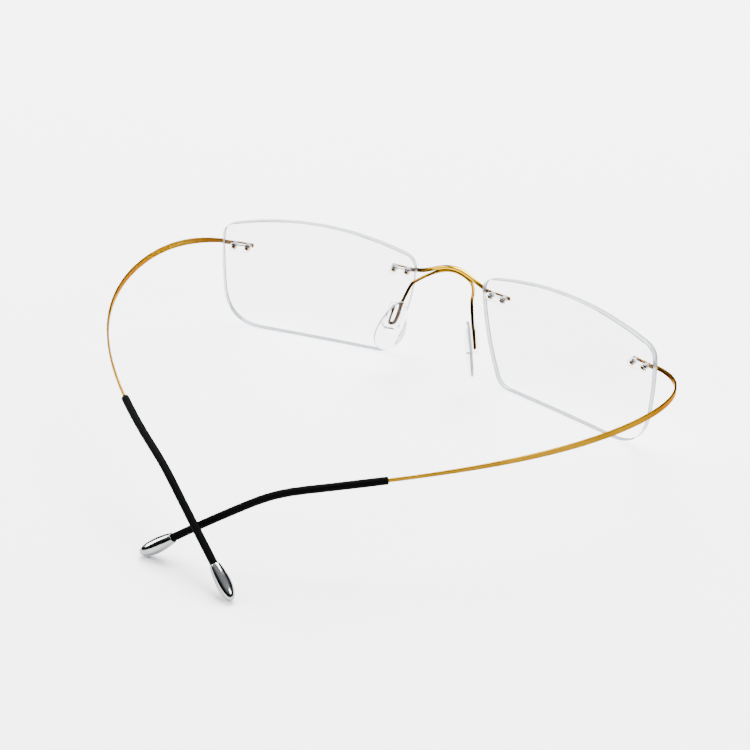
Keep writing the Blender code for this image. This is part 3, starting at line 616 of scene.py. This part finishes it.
def barFrom(rings, shape):
    # A flat bar swept through the sections of a CAD node, with its long edges rounded.
    centres = [middleOf(ring) for ring in rings]
    sections = [sectionSize(ring, tangent) for ring, tangent in zip(rings, tangentsOf(centres))]
    path = smoothPath(centres, shape["steps"])
    widths, heights, ups = (between([section[i] for section in sections], shape["steps"]) for i in range(3))
    corner = math.sqrt(0.5)      # how far the sides of a square are from the middle, its corners being at 1
    places = [axesTo(place, tangent, up, width / 2.0 / corner, height / 2.0 / corner)
              for place, tangent, up, width, height in zip(path, tangentsOf(path), ups, widths, heights)]
    mesh = sweep(places, 4, math.radians(45.0))
    roundEdges(mesh, shape["round"], shape["roundSteps"])
    return mesh


# Steps between two sections of the frame, and edge roundings in millimetres.
bridgeShape = {"steps": 5, "round": 0.34, "roundSteps": 4}
wireShape = {"steps": 4, "points": 20, "endRound": 0.1, "roundSteps": 3}
stripShape = {
    "steps": 6, "round": 0.2, "roundSteps": 4, "bendFrom": 2,      # the section at which a bow starts to bend
}

mesh = barFrom(ringsOf("bridge_bar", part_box("bridge_bar")[1]), bridgeShape)
makePiece("bridge_bar_polished", mesh, [bridgeGold], "front", "gold_plate", "bridge_bar")

wireRings = ringsOf("pad_arm_wire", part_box("pad_arm_wire")[1])
wireCentres = [middleOf(ring) for ring in wireRings]
wireRadius = max((point - wireCentres[0]).length for point in wireRings[0])
wirePath = smoothPath(wireCentres, wireShape["steps"])
wireTangents = tangentsOf(wirePath)
wireUps = steadyUps(wireTangents, Vector((0, 0, 1)))
wirePlaces = [axesTo(place, tangent, up, wireRadius, wireRadius)
              for place, tangent, up in zip(wirePath, wireTangents, wireUps)]
mesh = sweep(wirePlaces, wireShape["points"])
roundEdges(mesh, wireShape["endRound"], wireShape["roundSteps"])
makePiece("pad_wire_bent", mesh, [wireGold], "front", "gold_wire", "pad_arm_wire")
print("bridge and pad wire made")


# The sleeve and the end cap of each temple; their radii are read from the frame.
sleeveShape = {"noseRound": 0.3, "noseDrop": 0.7, "noseSteps": 6, "mouth": 0.02, "step": 0.9, "points": 32}
capShape = {
    "mouth": 0.3, "socketDepth": 1.3, "lip": 0.12, "lipSteps": 6,
    "bulgeAt": 0.5, "tip": 0.06, "steps": 30, "points": 40,      # bulgeAt is a share of the cap's length
}


def runOf(path):
    # How far along a path each of its points is.
    lengths = [0.0]
    for before, after in zip(path, path[1:]):
        lengths.append(lengths[-1] + (after - before).length)
    return lengths


def pointAlong(path, run, s):
    # Place and direction on a path so far along it.
    i = max(1, next((k for k, length in enumerate(run) if length >= s), len(run) - 1))
    share = (s - run[i - 1]) / (run[i] - run[i - 1])
    tangents = [(path[min(k + 1, len(path) - 1)] - path[max(k - 1, 0)]).normalized() for k in (i - 1, i)]
    return path[i - 1].lerp(path[i], share), tangents[0].lerp(tangents[1], share).normalized()


def spotsOn(path, run, node):
    # Where a node's corners lie: how far along the path, and how far out from it.
    found = []
    for vertex in frame["nodes"][node].data.vertices:
        i = min(range(len(path)), key=lambda k: (path[k] - vertex.co).length_squared)
        tangent = (path[min(i + 1, len(path) - 1)] - path[max(i - 1, 0)]).normalized()
        away = vertex.co - path[i]
        onward = away.dot(tangent)
        found.append((run[i] + onward, (away - tangent * onward).length))
    return sorted(found)


def tubeAlong(path, run, rows, points, looped=False):
    # Round sections of (distance, radius) rows along a path.
    places = []
    for s, radius in rows:
        place, tangent = pointAlong(path, run, s)
        places.append(axesTo(place, tangent, Vector((0, 0, 1)), radius, radius))
    return sweep(places, points, looped=looped)


def sleeveRows(spots, shape):
    # From the far end up the bore, round the nose and back along the outside.
    first, last = spots[0][0], spots[-1][0]
    inner, outer = min(out for _, out in spots), max(out for _, out in spots)
    nose = shape["noseRound"] * mm
    count = int((last - first) / (shape["step"] * mm))
    stations = [first + nose + (last - first - nose) * i / count for i in range(count + 1)]
    rows = [(s, inner) for s in reversed(stations)] + [(first + shape["mouth"] * mm, inner)]
    for step in range(shape["noseSteps"] + 1):
        swing = math.radians(90.0 * step / shape["noseSteps"])
        drop = nose * shape["noseDrop"] * (1.0 - math.sin(swing))
        rows.append((first + nose * (1.0 - math.cos(swing)), outer - drop))
    return rows + [(s, outer) for s in stations[1:]]


def capRows(spots, last, shape):
    # From the bottom of the socket to its mouth, round the lip, out to the bulge and in to the tip.
    first = spots[0][0]
    mouth = [out for s, out in spots if s < first + shape["mouth"] * mm]
    socket, collar, bulge = min(mouth), max(mouth), max(out for _, out in spots)
    lip, tip = shape["lip"] * mm, shape["tip"] * mm
    bottom = first + shape["socketDepth"] * mm
    rows = [(bottom, tip), (bottom, socket), (first + lip, socket)]
    for step in range(shape["lipSteps"] + 1):
        swing = math.radians(180.0 * step / shape["lipSteps"])
        wide = socket + (collar - socket) / 2.0 * (1.0 - math.cos(swing))
        rows.append((first + lip * (1.0 - math.sin(swing)), wide))
    for step in range(2, shape["steps"] + 1):
        share = step / shape["steps"]
        if share < shape["bulgeAt"]:
            swell = math.sin(0.5 * math.pi * share / shape["bulgeAt"])
            wide = collar + (bulge - collar) * swell
        else:
            fall = (share - shape["bulgeAt"]) / (1.0 - shape["bulgeAt"])
            wide = bulge * math.sqrt(max(1.0 - fall * fall, 0.0))
        rows.append((first + (last - first) * share, max(wide, tip)))
    return rows


for sideName in sides:
    temple = f"temple_{sideName}"
    bow = ringsOf(f"temple_bow_{sideName}", pins["temple", sideName, "inner"][0])
    arm = ringsOf(f"temple_arm_{sideName}", middleOf(bow[-1]))
    mesh = barFrom(bow[:-1] + arm, stripShape)
    strip = makePiece(f"temple_strip_{sideName}", mesh, [stripGold], None, "gold_strip",
                      f"temple_bow_{sideName}", f"temple_arm_{sideName}")
    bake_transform(strip)

    tip = max((vertex.co.copy() for vertex in frame["nodes"][f"end_cap_{sideName}"].data.vertices),
              key=lambda point: (point - middleOf(arm[0])).length)
    path = smoothPath([middleOf(ring) for ring in arm] + [tip], stripShape["steps"])
    run = runOf(path)
    rows = sleeveRows(spotsOn(path, run, f"sleeve_{sideName}"), sleeveShape)
    mesh = tubeAlong(path, run, rows, sleeveShape["points"], looped=True)
    makePiece(f"sleeve_{sideName}_tube", mesh, [sleeveBlack], temple, "black_sleeve", f"sleeve_{sideName}")
    rows = capRows(spotsOn(path, run, f"end_cap_{sideName}"), run[-1], capShape)
    mesh = tubeAlong(path, run, rows, capShape["points"])
    makePiece(f"end_cap_{sideName}_polished", mesh, [capNickel], temple, "silver_cap", f"end_cap_{sideName}")
print("temples made")


# The nose pads: millimetres on the pad's own axes, with its splay in degrees.
padShape = {
    "splay": 33.5, "length": 13.8, "width": 8.2, "taper": 0.3, "rim": 0.8, "crown": 0.9, "setDown": 3.3,
    "pocketDepth": 1.5, "pocketWidth": 3.2, "pocketTop": -2.5, "pocketBottom": 3.9, "pastTop": 1.0,
    "wall": 0.55, "bossRound": 0.9, "roundSteps": 4, "rimFrom": 0.12, "rimSlope": 0.6,
    "voxel": 0.12, "soften": 14, "points": 72,
    "rimRings": ((0.3, 0.0), (0.94, 0.0), (0.985, 0.1), (1.0, 0.35), (0.995, 0.7)),   # size, share of rim
    "crownRings": (0.95, 0.86, 0.72, 0.55, 0.35, 0.12),
}


def padDrop(mesh, scale, height, shape):
    # One ring of the drop outline: x across the pad, y down it, z towards the nose.
    ring = bmesh.ops.create_circle(mesh, segments=shape["points"], radius=1.0)["verts"]
    for vertex in ring:
        across, down = vertex.co.x, vertex.co.y
        vertex.co = Vector((across * shape["width"] / 2.0 * (1.0 + shape["taper"] * down) * scale,
                            shape["setDown"] + down * shape["length"] / 2.0 * scale, height))
    return [edge for edge in mesh.edges if all(vertex in ring for vertex in edge.verts)]


def boxMesh(low, high):
    # A box between two corners.
    mesh = bmesh.new()
    bmesh.ops.create_cube(mesh, size=1.0)
    for vertex in mesh.verts:
        vertex.co = Vector([high[i] if vertex.co[i] > 0 else low[i] for i in range(3)])
    return mesh


def padMatrix(joint, side, shape):
    # The pad's own axes from its joint: down it, out of its face towards the nose, and across.
    down = Vector(joint["axis"]).normalized()
    splay = math.radians(shape["splay"])
    nose = Vector((-side * math.cos(splay), math.sin(splay), 0.0))
    nose = (nose - down * nose.dot(down)).normalized()
    wide = down.cross(nose)
    turn = Matrix((wide, down, nose)).transposed().to_4x4()
    return Matrix.Translation(joint["pos_m"]) @ turn @ Matrix.Scale(mm, 4)


for sideName, side in sides.items():
    shape = padShape
    place = padMatrix(joints[f"nose_pad_{sideName}_rock"], side, shape)
    back = shape["pocketDepth"] / 2.0
    face = back + shape["rim"]
    mesh = bmesh.new()
    levels = [(scale, back + share * shape["rim"]) for scale, share in shape["rimRings"]]
    levels += [(scale, face + shape["crown"] * (1.0 - scale * scale)) for scale in shape["crownRings"]]
    loops = [padDrop(mesh, scale, height, shape) for scale, height in levels]
    for before, after in zip(loops, loops[1:]):
        bmesh.ops.bridge_loops(mesh, edges=before + after)
    bmesh.ops.contextual_create(mesh, geom=loops[0])
    bmesh.ops.contextual_create(mesh, geom=loops[-1])
    bmesh.ops.recalc_face_normals(mesh, faces=mesh.faces)
    pad = makePiece(f"nose_pad_{sideName}_moulded", mesh, [siliconeClear, siliconeRim], None,
                    "clear_silicone", f"nose_pad_{sideName}")
    half = shape["pocketWidth"] / 2.0
    boss = boxMesh((-half - shape["wall"], shape["pocketTop"], -back - shape["wall"]),
                   (half + shape["wall"], shape["pocketBottom"] + shape["wall"], face))
    # The pad is drawn a thousand times its size, so its rounding is too.
    roundEdges(boss, shape["bossRound"] / mm, shape["roundSteps"])
    pocket = boxMesh((-half, shape["pocketTop"] - shape["pastTop"], -back),
                     (half, shape["pocketBottom"], back))
    workOn(pad, [("UNION", boss, 0), ("DIFFERENCE", pocket, 0)])
    fine = pad.modifiers.new("moulded", "REMESH")
    fine.mode = "VOXEL"
    fine.voxel_size = shape["voxel"]
    soft = pad.modifiers.new("softened", "SMOOTH")
    soft.factor = 0.5
    soft.iterations = shape["soften"]
    keepModifiers(pad, 180.0)
    # The rim faces take the grey of painted shade that draws the drop.
    for polygon in pad.data.polygons:
        onRim = back + shape["rimFrom"] < polygon.center.z and abs(polygon.normal.z) < shape["rimSlope"]
        polygon.material_index = 1 if onRim else 0
    pad.data.transform(place)
    if place.determinant() < 0:
        pad.data.flip_normals()
    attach(pad, f"pad_{sideName}")
print("nose pads moulded")


def onSphere(azimuth, elevation, distance):
    a, e = math.radians(azimuth), math.radians(elevation)
    return Vector((math.sin(a) * math.cos(e), -math.cos(a) * math.cos(e), math.sin(e))) * distance


target = Vector(studio["target"]) * mm
camera = bpy.data.objects.new("camera", bpy.data.cameras.new("camera"))
camera.data.sensor_width = studio["sensor"]
camera.data.lens = studio["focal"]
camera.data.clip_start = 0.01
camera.location = target + onSphere(studio["azimuth"], studio["elevation"], studio["distance"] * mm)
aim = (target - camera.location).to_track_quat("-Z", "Y")
camera.rotation_mode = "QUATERNION"
camera.rotation_quaternion = aim @ Matrix.Rotation(math.radians(studio["roll"]), 4, "Z").to_quaternion()
bpy.context.scene.collection.objects.link(camera)
bpy.context.scene.camera = camera

floorMaterial, tree, place = newMaterial("pale_table_paper")
fibres = addNode(tree, "ShaderNodeTexNoise", {"Scale": perMetre(studio["fibre"]), "Detail": 3.0},
                 {"Vector": place})
tone = addNode(tree, "ShaderNodeMix", {6: linear(studio["floor"][0]), 7: linear(studio["floor"][1])},
               {0: fibres.outputs["Fac"]}, data_type="RGBA")
paper = addNode(tree, "ShaderNodeBsdfPrincipled", {"Roughness": 0.7, "Specular IOR Level": 0.2},
                {"Base Color": tone.outputs[2]})
showShader(tree, paper.outputs["BSDF"])
mesh = bmesh.new()
bmesh.ops.create_grid(mesh, x_segments=1, y_segments=1, size=studio["floorSize"] / 2.0)
data = bpy.data.meshes.new("floor")
mesh.to_mesh(data)
mesh.free()
data.materials.append(floorMaterial)
floor = bpy.data.objects.new("floor", data)
floor.location.z = -studio["floorDrop"] * mm
bpy.context.scene.collection.objects.link(floor)

# Three large soft lamps: one high in front that whitens the tops, and a smaller one on each side.
lamps = {                                                    # places and sizes in metres
    "overhead": {"place": (0.25, -0.75, 1.25), "size": 1.1, "watts": 122.0, "colour": "#FFFFFF"},
    "leftSoft": {"place": (1.3, 0.4, 0.9), "size": 0.8, "watts": 48.0, "colour": "#FFFDF8"},
    "rightSoft": {"place": (-1.2, 0.1, 1.2), "size": 0.6, "watts": 34.0, "colour": "#F6FAFF"},
}
for name, lamp in lamps.items():
    light = bpy.data.lights.new(name, "AREA")
    light.shape = "SQUARE"
    light.size = lamp["size"]
    light.energy = lamp["watts"]
    light.color = linear(lamp["colour"])[:3]
    holder = bpy.data.objects.new(name, light)
    holder.location = lamp["place"]
    holder.rotation_euler = (target - holder.location).to_track_quat("-Z", "Y").to_euler()
    bpy.context.scene.collection.objects.link(holder)

# The room: pale overhead and near black down to the horizon, which gives polished metal its dark lines.
world = bpy.data.worlds.new("studio")
bpy.context.scene.world = world
world.use_nodes = True
tree = world.node_tree
tree.nodes.clear()
around = addNode(tree, "ShaderNodeTexCoord")
height = addNode(tree, "ShaderNodeSeparateXYZ", links={"Vector": around.outputs["Generated"]})
fade = addNode(tree, "ShaderNodeMapRange", {"From Min": studio["fade"][0], "From Max": studio["fade"][1]},
               {"Value": height.outputs["Z"]}, interpolation_type="SMOOTHSTEP")
shade = addNode(tree, "ShaderNodeMix", {6: linear(studio["horizon"]), 7: linear(studio["zenith"])},
                {0: fade.outputs["Result"]}, data_type="RGBA")
sky = addNode(tree, "ShaderNodeBackground", {"Strength": studio["worldStrength"]},
              {"Color": shade.outputs[2]})
addNode(tree, "ShaderNodeOutputWorld", links={"Surface": sky.outputs["Background"]})
print("studio lit")
